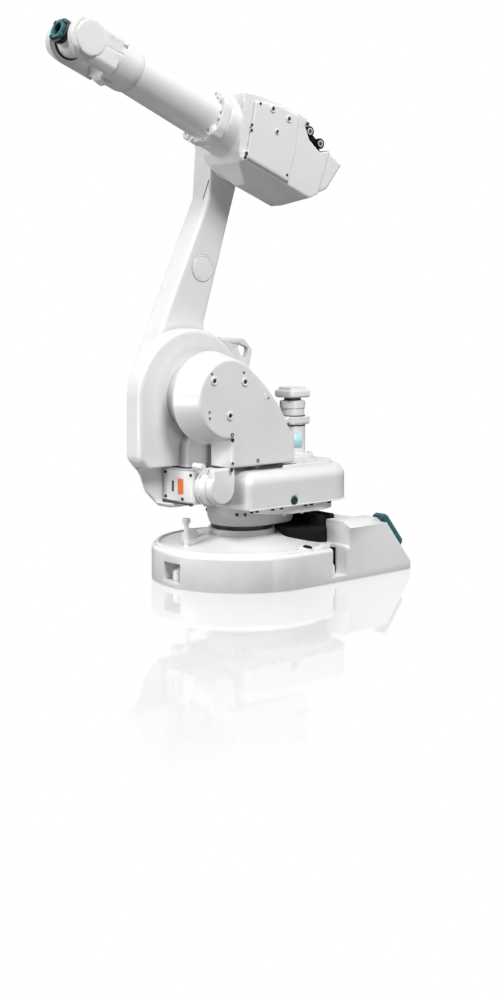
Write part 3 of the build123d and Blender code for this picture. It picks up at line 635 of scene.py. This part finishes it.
# Upright, gear housing and the cover over them
cast("upright_casting", ["upright"], "turret", CAST, 3.0, 5)
cast("gear_casting", ["gear_housing"], "turret", CAST, 3.0, 3)
cast("shoulder_cover", ["side_cover"], "turret", WHITE, 2.6, 4)
near = [at(x, 128, z) for x, z in ((206, 535), (102, 529), (153, 444))]
screws("shoulder_cover_bolts", "turret", near, Y, 4.8, 2.6, mat=DARK_STEEL_AND_SHADE, pad=10.5)
screws("shoulder_cover_screws", "turret",
       [at(x, COVER_FACE, z) for x, z in ((213, 553), (105, 553), (221, 457), (220, 441),
                                         (143, 322), (-52, 412), (20, 484))],
       Y, 3.4, 2.4, mat=DARK_STEEL_AND_SHADE)
screws("cover_leg_screws", "turret",
       [at(x, COVER_FACE, z) for x, z in ((145, 395), (144, 382), (147, 306), (57, 323))],
       Y, 5.2, 2.6, mat=DARK_STEEL_AND_SHADE)
bm = bmesh.new()
for x, z in ((28, 488), (-55, 420)):
    lathe(bm, at(x, 96, z), Y, [(11, 0), (11, 30), (8, 32.8)], 28)
finish_mesh("shoulder_cover_ears", bm, "turret", WHITE)

# Shoulder motor
dress("shoulder_motor", WHITE, 3.0)
dress("motor_mount", CAST, 5.0)
dress("shoulder_motor_cap", WHITE, 2.0)
screws("motor_plate_screws", "turret",
       [at(MOTOR_FACE + 0.4, y, z) for y, z in ((-55, 291), (-53, 227), (16, 226), (50, 291))],
       X, 4.2, 3.2, mat=DARK_STEEL_AND_SHADE)
for name, y, width, low, high, mat in (("orange_note", 8, 22, 238, 278, ORANGE),
                                       ("white_note", -12, 12, 240, 276, LABEL),
                                       ("dark_note", -24, 8, 242, 270, DARK)):
    bm = bmesh.new()
    block(bm, at(MOTOR_FACE + 0.9, y, (low + high) / 2), Y, Z, (width, high - low, 0.7))
    finish_mesh(name, bm, "turret", mat)
bm = bmesh.new()
block(bm, at(MOTOR_FACE, -4, 302.5), Y, Z, (128, 3, 2.4))
finish_mesh("motor_top_rail", bm, "turret", SHADE, edge=0.8)
bm = bmesh.new()
block(bm, at(MOTOR_FACE, -4, 214.5), Y, Z, (124, 4.5, 2.4))
for y in (-60, 48):
    block(bm, at(MOTOR_FACE + 0.4, y, 214.5), Y, Z, (9, 8, 3))
finish_mesh("motor_low_rail", bm, "turret", DARK, edge=0.8)
# Dark strip along the foot of the shoulder cover: painted shade in the gap between the cover and
# the turret.
bm = bmesh.new()
block(bm, at(-12, 127, 302), X, Z, (134, 6.5, 1.4))
finish_mesh("cover_gap_shade", bm, "turret", DARK)
bm = bmesh.new()
lathe(bm, at(170, 64, 259), Y, [(48.5, 0), (49.5, 2), (49.5, 8), (48.5, 10)], 72)
finish_mesh("motor_band", bm, "turret", WHITE)
bm = bmesh.new()
lathe(bm, at(214, 60, 315), Y, [(9, 0), (9, 34), (8, 36)], 24)
finish_mesh("motor_lead_stub", bm, "turret", WHITE)
screws("motor_cap_screws", "turret", [at(158, 119.5, 300)], Y, 5.0, 1.2, mat=DARK_STEEL_AND_SHADE)


def square_stack(bm, layers, corner):
    """Rounded squares round the turning motor's axis: (half width, height) layers. The corner
    radius is that of a layer 38 wide to each side, and the others share its look."""
    rings = []
    for half, height in layers:
        outline = rounded([(-half, -half), (half, -half), (half, half), (-half, half)],
                          corner * half / 38)
        rings.append([at(TURNING_MOTOR + x, y, height) for x, y in outline])
    skin(bm, rings)


# Turning motor
bm = bmesh.new()
square_stack(bm, [(43.6, 304.2), (43.8, 306), (43.8, 314), (41, 316)], 12)
lathe(bm, at(TURNING_MOTOR, 0, 312), Z, [(35, 0), (35, 92)], 48)
square_stack(bm, [(33, 396), (36.6, 400.5), (36.8, 416), (34, 418)], 12)
lathe(bm, at(TURNING_MOTOR, 0, 414), Z,
      [(33, 0), (33, 26), (35.6, 28), (35.6, 46), (30, 48)], 48)
body = finish_mesh("turning_motor_body", bm, "turret", WHITE)
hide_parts("turning_motor")
# Dark bands under the lid and at the joints of the body: painted shade in these gaps.
bm = bmesh.new()
lathe(bm, at(TURNING_MOTOR, 0, 460), Z, [(23.5, 0), (23.5, 11)], 36)
lathe(bm, at(TURNING_MOTOR, 0, 391.5), Z, [(35.6, 0), (35.6, 4.6)], 48)
lathe(bm, at(TURNING_MOTOR, 0, 418.2), Z, [(35, 0), (35, 3)], 48)
finish_mesh("turning_motor_gap_shade", bm, "turret", DARK)
bm = bmesh.new()
square_stack(bm, [(34, 470.3), (37.6, 474), (37.8, 486), (36.5, 489), (33, 491.5), (30, 492),
                  (29, 497.5), (26, 498.8)], 13)
cap = finish_mesh("turning_motor_lid", bm, "turret", CAST)
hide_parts("turning_motor_cap")

# Label bent round the motor
bm = bmesh.new()
steps = 14
turns = [radians(50 + 44 * i / steps) for i in range(steps + 1)]
low, high = ([bm.verts.new(at(TURNING_MOTOR + 35.2 * cos(t), 35.2 * sin(t), z)) for t in turns]
             for z in (332, 372))
for i in range(steps):
    bm.faces.new((low[i], low[i + 1], high[i + 1], high[i]))
note = finish_mesh("pale_note", bm, "turret", PALE_TEAL)
solid = note.modifiers.new("thick", "SOLIDIFY")
solid.thickness = 0.0006
screws("turning_motor_screws", "turret",
       [at(TURNING_MOTOR + 34 * i, 34 * j, 315.6) for i in (-1, 1) for j in (-1, 1)], Z, 5.0, 5.0)

# Lower arm
cast("lower_arm_body", ["lower_arm_casting"], "lower_arm", CAST, 3.2, 5)
# Thin grey strip on the arm's face: painted shade for the groove along it.
slot_low, slot_high = at(65, -84.9, 1013), at(44, -84.9, 1066)
bm = bmesh.new()
block(bm, (slot_low + slot_high) / 2, slot_high - slot_low, Y.cross(slot_high - slot_low),
      (57, 4.5, 0.5))
finish_mesh("arm_slot_shade", bm, "lower_arm", SHADE)
bm = bmesh.new()
plug_at = lower_arm(6, 350, -85.3)
lathe(bm, plug_at, Y, [(36, 0), (36, 1.8), (34.6, 3), (33.2, 3), (32.2, 1.6), (30.8, 1.6),
                       (29.8, 2.8), (24, 3.2)], 64)
plug = finish_mesh("arm_cover_disc", bm, "lower_arm", WHITE)
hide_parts("arm_plug")
# Grey ring round the cover disc: painted shade in its seam.
bm = bmesh.new()
lathe(bm, plug_at, Y, [(39, 0), (38.6, 0.9), (36.2, 1)], 64)
finish_mesh("arm_cover_seam_shade", bm, "lower_arm", SHADE)
for name, node, centre, radius, thick, bolts in (
        ("shoulder_disc", "shoulder_cap", SHOULDER, 92, 16, 12),
        ("elbow_disc", "elbow_cap", ELBOW, 50, 12, 8)):
    bm = bmesh.new()
    c = centre + at(0, -162, 0)
    lathe(bm, c, -Y, [(radius, -0.5), (radius, thick - 4), (radius - 2, thick - 1.5),
                      (radius - 5, thick), (radius * 0.62, thick), (radius * 0.58, thick - 3),
                      (radius * 0.2, thick - 3)], 72)
    disc = finish_mesh(name, bm, "lower_arm", CAST)
    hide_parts(node)
    ring = [c - thick * Y + radius * 0.8 * (cos(2 * pi * k / bolts) * X
                                            + sin(2 * pi * k / bolts) * Z) for k in range(bolts)]
    screws(name + "_screws", "lower_arm", ring, -Y, 4.2, 3.0, sunk=4.5)

# Housing round the elbow
cast("arm_housing_body", ["arm_housing", "housing_rear_cover"], "upper_arm", CAST, 3.0, 6)
cast("elbow_hub_body", ["elbow_hub"], "upper_arm", CAST, 3.0, 2)
cast("housing_cover", ["housing_side_cover"], "upper_arm", CAST, 2.2, 14)
screws("housing_bolts", "upper_arm",
       [forearm(a, p, HOUSING_FACE + 0.2) for a, p in ((20.5, 84), (-42, 84))], Y, 4.8, 2.6,
       mat=DARK_STEEL_AND_SHADE, pad=9.5)
screws("housing_small_bolt", "upper_arm", [forearm(-14, 33, HOUSING_FACE + 0.2)], Y, 4.0, 2.4,
       mat=DARK_STEEL_AND_SHADE, pad=6.5)
screws("housing_screws", "upper_arm",
       [forearm(a, p, HOUSING_FACE) for a, p in ((66, 78), (74, 13), (70, -1), (-88, -60))],
       Y, 3.6, 2.6, mat=DARK_STEEL_AND_SHADE)
bm = bmesh.new()
for p in (-66, -78):
    lathe(bm, forearm(66, p, 72), Y, [(9.5, 0), (9.5, 9), (7.5, 11)], 32)
finish_mesh("housing_corner_boss", bm, "upper_arm", CAST)
screws("housing_corner_screws", "upper_arm",
       [forearm(66, p, HOUSING_FACE + 0.4) for p in (-66, -78)], Y, 4.4, 3.0, mat=DARK_STEEL_AND_SHADE)

# Motor sockets in their recess, whose floor and walls are lined in black: painted shade inside the
# recess
bm = bmesh.new()
prism(bm, [(-185.5, 55), (-142, 69.5), (-114.6, 94), (-114.6, 115), (-138, 107), (-219, 73)],
      forearm(0, 0, 38.1), ALONG, ABOVE, -1.2)
for low, high in (((-219, 71), (-187, 54.5)), ((-186, 54.5), (-141, 69)),
                  ((-140, 69.5), (-114.4, 94.5)), ((-114.2, 95.5), (-114.2, 112))):
    a, b = forearm(*low, 56), forearm(*high, 56)
    block(bm, (a + b) / 2, b - a, (b - a).cross(Y), ((b - a).length, 1.2, 35))
block(bm, forearm(-164, 83, 49), 48 * ALONG + 15 * ABOVE, 48 * ABOVE - 15 * ALONG, (40, 17, 18))
finish_mesh("socket_well_shade", bm, "upper_arm", HOSE_AND_SHADE, soft=30)
screws("socket_bolt", "upper_arm", [forearm(-111, 102, 81)], Y, 5.4, 3.0, mat=DARK_STEEL_AND_SHADE)
for name, node, a, p in (("front_socket", "front_motor_socket", -140, 95),
                         ("rear_socket", "rear_motor_socket", -188, 80)):
    bm = bmesh.new()
    c = forearm(a, p, 38.3)
    lathe(bm, c, Y, [(14.8, 0), (14.8, 9), (13.2, 10), (13.2, 16), (14.9, 17), (14.9, 27),
                     (13.6, 29), (11.4, 29.4), (10.8, 25)], 36)
    obj = finish_mesh(name, bm, "upper_arm", HOSE_AND_SHADE)
    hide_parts(node)
    bm = bmesh.new()
    lathe(bm, c + 20 * Y, Y,
          [(10.6, 0), (10.6, 7), (9.4, 8.6), (6.4, 8.8), (5.6, 6), (2, 5.6)])
    finish_mesh(name + "_shell", bm, "upper_arm", ZINC)
    bm = bmesh.new()
    lathe(bm, c + 25 * Y, Y, [(5.4, 0), (5.4, 1), (3.4, 1.6), (1, 1.7)], 24)
    finish_mesh(name + "_core", bm, "upper_arm", DARK)

# Forearm and wrist
FLANGE_CORNERS = [(47, 47), (47, -47), (-47, -47), (-47, 47)]


def flange_ears(bm):
    """Ears for the corner screws of the forearm flange."""
    for y, p in FLANGE_CORNERS:
        lathe(bm, forearm(141, p, y), ALONG, [(16, 0), (16, 33), (13, 36)], 28)


cast("forearm_flange_body", ["forearm_flange"], "forearm", CAST, 2.4, 4, adds=flange_ears)
screws("flange_bolts", "forearm",
       [forearm(176, p, y) for y, p in FLANGE_CORNERS] +
       [forearm(167.6, p, y) for y, p in ((65, 8), (65, -12), (22, 65), (-22, 65), (22, -65),
                                          (-22, -65), (-65, 8), (-65, -12))],
       ALONG, 4.2, 3.4)
dress("forearm_tube", WHITE)


def wrist_forms(bm):
    """Bumps on both sides of the fork and the lug under it."""
    for y in (-59.2, 59.2):
        side = Y if y > 0 else -Y
        for a, p, r in ((545, 33, 7), (529, 31, 5), (497, 33, 6)):
            lathe(bm, forearm(a, p, y - 3 * side.y), side, [(r, 0), (r, 2.8), (r - 2, 4.2)], 24)
    prism(bm, rounded([(480, -50), (522, -50), (516, -64), (488, -68)], 6), forearm(0, 0, -18),
          ALONG, ABOVE, -36)


def wrist_grooves(bm):
    """Groove along the left arm of the fork."""
    low, high = forearm(497, 3.5, 60), forearm(592, -2, 60)
    block(bm, (low + high) / 2, high - low, (high - low).cross(Y), ((high - low).length, 5, 5))


cast("wrist_body", ["wrist_housing"], "forearm", WHITE, 2.2, 4, adds=wrist_forms,
     cuts=wrist_grooves)
cast("tilt_body", ["tilting_head"], "wrist", WHITE, 2.2, 3)
for name, side in (("left", 1), ("right", -1)):
    bm = bmesh.new()
    lathe(bm, forearm(WRIST, 0, side * 58.8), side * Y,
          [(44.8, 0), (44.6, 1.6), (42.6, 2.7), (38, 3.1), (20, 3.1), (4, 3.1)], 72)
    cover = finish_mesh(name + "_wrist_disc", bm, "forearm", WHITE)
    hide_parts(name + "_wrist_cover")
# Thin dark rings between the tilting head and the fork arms: painted shade in the gaps.
bm = bmesh.new()
for side in (-1, 1):
    lathe(bm, forearm(WRIST, 0, side * 36.95), -side * Y,
          [(43.5, 0), (43.5, 0.25), (40, 0.3)], 72)
finish_mesh("fork_gap_shade_rings", bm, "forearm", DARK)
dress("wrist_seal", RUBBER, 0.8)
dress("tool_flange", DARK_STEEL_AND_SHADE, 0.6)
dress("flange_plate", TEAL, 0.8)
for name, side in (("left", 1), ("right", -1)):
    screws(f"{name}_wrist_cover_screws", "forearm",
           [forearm(WRIST + 41.5 * cos(k * pi / 3), 41.5 * sin(k * pi / 3), side * 61.4)
            for k in range(6)], side * Y, 1.8, 0.6)

# Floor, light and camera


def stage_floor():
    """White floor that mirrors the robot and fades to plain white further out."""
    mesh = bpy.data.meshes.new("floor")
    s = 30.0
    mesh.from_pydata([(-s, -s, -0.0012), (s, -s, -0.0012), (s, s, -0.0012), (-s, s, -0.0012)],
                     [], [(0, 1, 2, 3)])
    obj = bpy.data.objects.new("floor", mesh)
    bpy.context.scene.collection.objects.link(obj)
    mat = bpy.data.materials.new("floor")
    mat.use_nodes = True
    tree = mat.node_tree
    out = tree.nodes["Material Output"]
    white = tree.nodes.new("ShaderNodeEmission")
    white.inputs["Color"].default_value = (1, 1, 1, 1)
    glossy = tree.nodes.new("ShaderNodeBsdfGlossy")
    glossy.inputs["Roughness"].default_value = 0.05
    glossy.inputs["Color"].default_value = (1, 1, 1, 1)
    shine = tree.nodes.new("ShaderNodeMixShader")
    place = tree.nodes.new("ShaderNodeNewGeometry")
    away = tree.nodes.new("ShaderNodeVectorMath")
    away.operation = "LENGTH"
    tree.links.new(place.outputs["Position"], away.inputs[0])
    fade = tree.nodes.new("ShaderNodeMapRange")
    fade.inputs["From Min"].default_value = 0.3
    fade.inputs["From Max"].default_value = 1.7
    fade.inputs["To Min"].default_value = 0.3
    fade.inputs["To Max"].default_value = 0.0
    tree.links.new(away.outputs["Value"], fade.inputs["Value"])
    tree.links.new(fade.outputs["Result"], shine.inputs["Fac"])
    tree.links.new(white.outputs[0], shine.inputs[1])
    tree.links.new(glossy.outputs[0], shine.inputs[2])
    soft = tree.nodes.new("ShaderNodeBsdfDiffuse")
    soft.inputs["Color"].default_value = (0.05, 0.05, 0.05, 1)
    path = tree.nodes.new("ShaderNodeLightPath")
    pick = tree.nodes.new("ShaderNodeMixShader")
    tree.links.new(path.outputs["Is Camera Ray"], pick.inputs["Fac"])
    tree.links.new(soft.outputs[0], pick.inputs[1])
    tree.links.new(shine.outputs[0], pick.inputs[2])
    tree.links.new(pick.outputs[0], out.inputs["Surface"])
    mesh.materials.append(mat)


stage_floor()


def area(name, place, target, size, power):
    """A soft lamp at a place, turned towards a target, in metres and watts."""
    data = bpy.data.lights.new(name, "AREA")
    data.shape = "RECTANGLE"
    data.size, data.size_y = size
    data.energy = power
    obj = bpy.data.objects.new(name, data)
    obj.location = place
    obj.rotation_euler = (Vector(target) - Vector(place)).to_track_quat("-Z", "Y").to_euler()
    bpy.context.scene.collection.objects.link(obj)


area("top_light", (0.3, 0.2, 4.4), (0, 0, 0.7), (2.6, 2.6), 24)
area("key_light", (1.2, 4.2, 5.2), (0, 0, 0.5), (2.2, 2.2), 360)
area("front_light", (5.0, -1.5, 3.2), (0, 0, 0.5), (2.0, 2.0), 165)
area("rear_light", (-3.2, 1.6, 2.8), (0, 0, 0.8), (2.0, 2.0), 24)
area("low_light", (1.6, -0.5, 0.3), (0, 0.1, 0.1), (0.5, 0.3), 9)
area("low_side_light", (0.4, 2.0, 0.28), (-0.1, 0, 0.1), (0.6, 0.3), 7)

world = bpy.data.worlds.new("studio")
bpy.context.scene.world = world
world.use_nodes = True
tree = world.node_tree
back = tree.nodes["Background"]
back.inputs["Color"].default_value = (1, 1, 1, 1)
path = tree.nodes.new("ShaderNodeLightPath")
level = tree.nodes.new("ShaderNodeMath")
level.operation = "MAXIMUM"
tree.links.new(path.outputs["Is Camera Ray"], level.inputs[0])
tree.links.new(path.outputs["Is Glossy Ray"], level.inputs[1])
strength = tree.nodes.new("ShaderNodeMapRange")
strength.inputs["To Min"].default_value = 0.05
strength.inputs["To Max"].default_value = 1.0
tree.links.new(level.outputs[0], strength.inputs["Value"])
tree.links.new(strength.outputs["Result"], back.inputs["Strength"])

# The photo's viewpoint: focal length in picture heights, and the eye's place round the robot
FOCAL = 1.424295
EYE_DISTANCE, EYE_HEIGHT = 3.8351, 0.74335
EYE_TURN, LOOK_ASIDE = 41.3949, 0.3728
camera = bpy.data.cameras.new("camera")
camera.sensor_width = 36
camera.sensor_fit = "AUTO"
camera.lens = 36 * FOCAL
camera.shift_y = -0.2012
camera.clip_end = 60
eye = bpy.data.objects.new("camera", camera)
eye.location = (EYE_DISTANCE * sin(radians(EYE_TURN)), EYE_DISTANCE * cos(radians(EYE_TURN)),
                EYE_HEIGHT)
eye.rotation_euler = (radians(90), 0, radians(180 - EYE_TURN - LOOK_ASIDE))
bpy.context.scene.collection.objects.link(eye)
bpy.context.scene.camera = eye
bpy.context.scene.view_settings.view_transform = "Standard"
